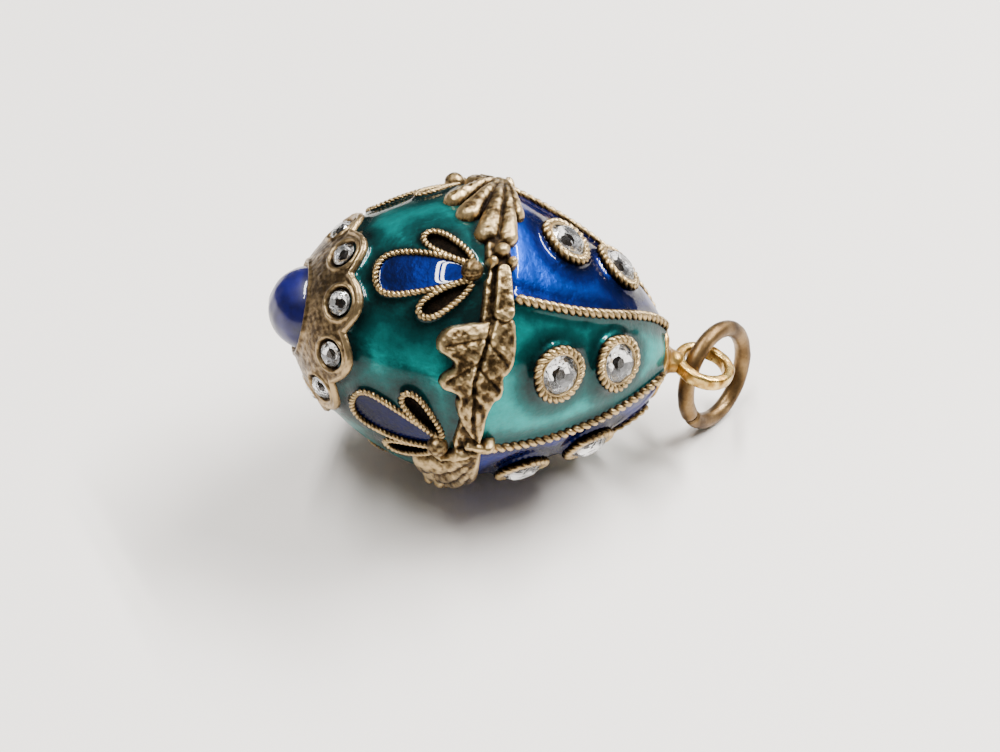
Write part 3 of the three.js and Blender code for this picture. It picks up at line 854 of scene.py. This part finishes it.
def leaf_relief(flat):
    """Height of the leaf: pillowed lobes parted by an incised midrib and fainter veins."""
    inside = outline_distance(flat, rounder([belt_flat(a, s) for a, s in LEAF_OUTLINE]))
    rise = SUNK + 1.12 * smooth_step((inside + 0.1) / 0.38) + 0.2 * smooth_step(inside / 1.1)
    gap = np.min([
        segment_distance(flat, belt_flat(*start), belt_flat(*end))[0]
        for start, end in zip(LEAF_MIDRIB, LEAF_MIDRIB[1:])
    ], axis=0)
    groove = 0.18 * np.exp(-(gap / 0.12) ** 2) - 0.06 * np.exp(-((gap - 0.3) / 0.16) ** 2)
    rise -= groove * (inside > 0.05)
    for start, end in LEAF_VEINS:
        gap, _ = segment_distance(flat, belt_flat(*start), belt_flat(*end))
        groove = 0.1 * np.exp(-(gap / 0.12) ** 2) - 0.05 * np.exp(-((gap - 0.36) / 0.2) ** 2)
        rise -= groove * (inside > 0.1)
    return rise


def fan_relief(flat):
    """Plump tapered fingers spreading from one root."""
    rise = np.full(flat.shape[:-1], SUNK)
    for angle, reach, width in FINGERS:
        gap, t = segment_distance(flat, belt_flat(*FAN_ROOT), belt_flat(angle, reach))
        half = (0.4 + 0.6 * t) * width
        dome = np.sqrt(np.maximum(0, 1 - (gap / half) ** 2))
        height = 0.1 + (0.5 + 0.42 * np.sin(math.pi * (0.25 + 0.6 * t))) * dome
        rise = np.maximum(rise, np.where(gap < half, height, SUNK))
    return rise


def flower_gap(grid_s, grid_phi):
    """Distance on the egg to the nearest flower, negative on it."""
    best = np.full(grid_s.shape, 1e9)
    for k in range(FLOWERS):
        turn = (grid_phi - FLOWER_START - k * 360 / FLOWERS + 180) % 360 - 180
        flat = np.stack([FLOWER_S - grid_s, np.radians(turn) * egg_radius(grid_s)], -1)
        best = np.minimum(best, np.hypot(flat[..., 0], flat[..., 1]) - BALL_RADIUS)
        for outline in (PETAL_OUTLINE[::2], *(loop[::2] for loop in LOOP_OUTLINES)):
            best = np.minimum(best, -outline_distance(flat, outline))
    return best


def make_garland():
    """Cast relief that dives into the enamel at its outline and beside the flowers."""
    sector = 360 // GARLAND_REPEATS
    columns = 330
    s = np.linspace(-4.6, 1.1, 100)
    phi = GARLAND_START + np.arange(columns) * sector / columns
    grid_s, grid_phi = np.meshgrid(s, phi, indexing="ij")
    flat = belt_flat(grid_phi, grid_s)
    band = SUNK + 0.9 * smooth_step((1.05 - np.abs(grid_s - BAND_MIDDLE_S)) / 0.4)
    stem_gap, t = segment_distance(flat, belt_flat(-21, -0.9), belt_flat(-7, -0.65))
    stem = SUNK + 1.35 * smooth_step((0.75 + 0.2 * t - stem_gap) / 0.4)
    rise = np.maximum.reduce([leaf_relief(flat), band, stem, fan_relief(flat)])
    for angle, place, size in KNOBS:
        gap = np.linalg.norm(flat - belt_flat(angle, place), axis=-1)
        knob = 0.35 + 0.65 * np.sqrt(np.maximum(0, 1 - (gap / size) ** 2))
        rise = np.maximum(rise, np.where(gap < size, knob, SUNK))
    base_gap, _ = segment_distance(flat, belt_flat(-74, -1.0), belt_flat(-74, 0.4))
    rise = np.maximum(rise, SUNK + 1.25 * smooth_step((0.5 - base_gap) / 0.3))
    rise = np.tile(rise, (1, GARLAND_REPEATS))
    full_phi = GARLAND_START + np.arange(columns * GARLAND_REPEATS) * sector / columns
    full_s, full_phi = np.meshgrid(s, full_phi, indexing="ij")
    beside = smooth_step((flower_gap(full_s, full_phi) - 0.1) / 0.35)
    rise = np.minimum(rise, SUNK + 1.6 * beside)
    radial = across(full_phi)
    base = radial * egg_radius(full_s)[..., None]
    base[..., 0] = full_s
    grain = 0.05 * lumps(base, 0.8, 21) + 0.022 * lumps(base, 0.33, 22)
    rise = np.where(rise > -0.2, rise + grain, rise)
    points = base + radial * rise[..., None]
    # Painted light: darker in low and hollow places, lighter on high and rounded ones; the lumps add
    # random mottle.
    around = sum(np.roll(rise, (i, j), (0, 1)) for i in (-4, 0, 4) for j in (-5, 0, 5)) / 9
    shading_and_mottle = 0.42 + 0.35 * (rise - 0.45) + 2.6 * (rise - around) + 0.15 * lumps(base, 0.8, 23)
    faces = flipped(grid_faces(len(s), columns * GARLAND_REPEATS, wrap_columns=True))
    faces = without(faces, (rise < -0.35).reshape(-1))
    part = (points.reshape(-1, 3), faces, GILT, np.clip(shading_and_mottle, 0, 1.1))
    build("garland", [part], "leaf_garland")


# ---------------------------------------------------------------- cap, eye and ring
def make_cap():
    profile = rounded([
        (1.6, 12.5), (2.6, 12.55), (2.88, 12.75), (2.88, 13.05),
        (2.55, 13.28), (1.9, 13.5), (1.35, 13.7), (0.6, 13.72),
    ], 0.14)
    points, faces = turned(profile, 120, 0.05, 31)
    shading_and_mottle = 0.55 + 0.3 * lumps(points, 0.9, 32)
    build("cap", [(points, faces, BRIGHT_GILT, shading_and_mottle)], "top_cap")


def make_eye():
    turn, around = full_turn(40), full_turn(120)
    middle, half = (EYE_OUTER + EYE_BORE) / 2, (EYE_OUTER - EYE_BORE) / 2
    radius = middle + half * soften(np.cos(turn), 0.6)
    height = 0.5 * soften(np.sin(turn), 0.6)
    points = np.stack(np.broadcast_arrays(
        EYE_S + np.cos(around)[:, None] * radius, np.sin(around)[:, None] * radius, height[None],
    ), -1)
    points = points + 0.02 * lumps(points, 1.1, 41)[..., None]
    shading_and_mottle = 0.62 + 0.3 * lumps(points, 0.8, 42)
    faces = flipped(grid_faces(len(around), len(turn), True, True))
    neck = rounded([
        (1.45, 13.66), (1.15, 13.9), (0.86, 14.3), (0.8, 14.75), (0.62, 15.15), (0.1, 15.2),
    ], 0.3)
    neck_points, neck_faces = turned(neck, 64, 0.06, 43)
    build("eye", [
        (points.reshape(-1, 3), faces, BRIGHT_GILT, shading_and_mottle.reshape(-1)),
        (neck_points, neck_faces, BRIGHT_GILT, 0.5),
    ], "bail_eye")


RING_RADIUS, RING_WIRE = 3.55, 0.6
RING_TURN, RING_LEAN = math.radians(41), math.radians(17.3)
RING_OUT, RING_DOWN = 2.5, 1.88
RING_SEAM = math.radians(3)
RING_SEAM_AT = math.radians(222)


def make_ring():
    turn = np.linspace(RING_SEAM / 2, 2 * math.pi - RING_SEAM / 2, 190) + RING_SEAM_AT
    out = np.array([math.cos(RING_TURN), math.sin(RING_TURN), 0])
    side = np.array([-math.sin(RING_TURN), math.cos(RING_TURN), 0])
    lift = math.sin(RING_LEAN) * side + math.cos(RING_LEAN) * np.array([0, 0, 1.0])
    centre = np.array([EYE_S, 0, 0]) + RING_OUT * out - RING_DOWN * np.array([0, 0, 1.0])
    spoke = spokes(turn, out, lift)
    path = centre + spoke * RING_RADIUS
    ends = np.minimum(turn - turn[0], turn[-1] - turn) * RING_RADIUS
    radius = RING_WIRE * (1 - 0.25 * np.exp(-ends / 0.07))
    points, faces = tube(path, spoke, radius, 32)
    points = points + 0.016 * lumps(points, 1.4, 51)[:, None]
    shading_and_mottle = 0.5 + 0.25 * lumps(points, 1.8, 52)
    build("swing_ring", [(points, faces, AGED_BRASS, shading_and_mottle)], "jump_ring", "ring")


# ---------------------------------------------------------------- build everything
make_field()
make_flowers()
make_collar()
make_dome()
make_panels()
make_ropes()
make_collets()
make_garland()
make_cap()
make_eye()
make_ring()
for name in ("blunt_shell", "pointed_shell"):
    core = frame["nodes"][name]
    core.data.materials.clear()
    core.data.materials.append(GILT)


# ---------------------------------------------------------------- table, light and camera
# Lamps are placed in metres, and each pair of tubes has its direction and its power.
TUBE_PAIRS = (((-0.2, 0.05, 0.97), 2.8), ((0.6, 0.28, 0.74), 5.6))
TUBE_DISTANCE = 0.6
TUBE_OFFSET = 0.05
TUBE_SIZE = (0.42, 0.014)
VIEW_ELEVATION, VIEW_AZIMUTH = math.radians(40), math.radians(-5.4)
VIEW_RIGHT, VIEW_UP, VIEW_DISTANCE = 1.7, -3.0, 110
VIEW_LENS = 57.6


def make_table():
    mesh = bpy.data.meshes.new("table")
    mesh.from_pydata([(-2, -2, 0), (2, -2, 0), (2, 2, 0), (-2, 2, 0)], [], [[0, 1, 2, 3]])
    mesh.materials.append(table_top("pale_table"))
    table = add("table", mesh)


def strip(name, place, size, power, aim):
    data = bpy.data.lights.new(name, "AREA")
    data.shape = "RECTANGLE"
    data.size, data.size_y = size
    data.energy = power
    lamp = add(name, data)
    lamp.location = place
    direction = Vector(aim) - Vector(place)
    lamp.rotation_euler = direction.to_track_quat("-Z", "Y").to_euler()


def light_scene():
    """Bright ceiling over darker walls, and two fixtures of twin tubes."""
    world = bpy.data.worlds.new("studio")
    world.use_nodes = True
    tree = world.node_tree
    direction = tree.nodes.new("ShaderNodeTexCoord")
    split = tree.nodes.new("ShaderNodeSeparateXYZ")
    tree.links.new(direction.outputs["Generated"], split.inputs[0])
    height = calc(tree, "MULTIPLY", calc(tree, "ADD", split.outputs["Z"], 1.0), 0.5)
    sky = ramp(tree, height, [
        (0.45, (0.26, 0.25, 0.24)), (0.56, (0.1, 0.1, 0.103)),
        (0.74, (0.2, 0.196, 0.19)), (0.95, (0.5, 0.485, 0.465)),
    ])
    background = tree.nodes["Background"]
    tree.links.new(sky, background.inputs["Color"])
    background.inputs["Strength"].default_value = 1.0
    bpy.context.scene.world = world
    for i, (aim, power) in enumerate(TUBE_PAIRS):
        place = TUBE_DISTANCE * np.array(aim)
        for side in (-TUBE_OFFSET, TUBE_OFFSET):
            tube_place = place + np.array([0, side, 0])
            strip(f"tube_{i}_{side > 0:d}", tube_place.tolist(), TUBE_SIZE, power, (0, side, 0))
    strip("soft", (0.4, 0.5, 0.9), (1.0, 1.0), 0.9, (0, 0, 0))


def place_camera():
    level = math.cos(VIEW_ELEVATION)
    back = np.array([
        math.sin(VIEW_AZIMUTH) * level, -math.cos(VIEW_AZIMUTH) * level, math.sin(VIEW_ELEVATION),
    ])
    right = np.array([math.cos(VIEW_AZIMUTH), math.sin(VIEW_AZIMUTH), 0])
    up = np.cross(back, right)
    place = (BELT_CENTRE + VIEW_RIGHT * right + VIEW_UP * up + VIEW_DISTANCE * back) * MM
    data = bpy.data.cameras.new("view")
    data.lens = VIEW_LENS
    data.sensor_width = 36
    data.clip_start = 0.01
    camera = add("view", data)
    camera.matrix_world = Matrix([
        [right[0], up[0], back[0], place[0]],
        [right[1], up[1], back[1], place[1]],
        [right[2], up[2], back[2], place[2]],
        [0, 0, 0, 1],
    ])
    bpy.context.scene.camera = camera


make_table()
light_scene()
place_camera()
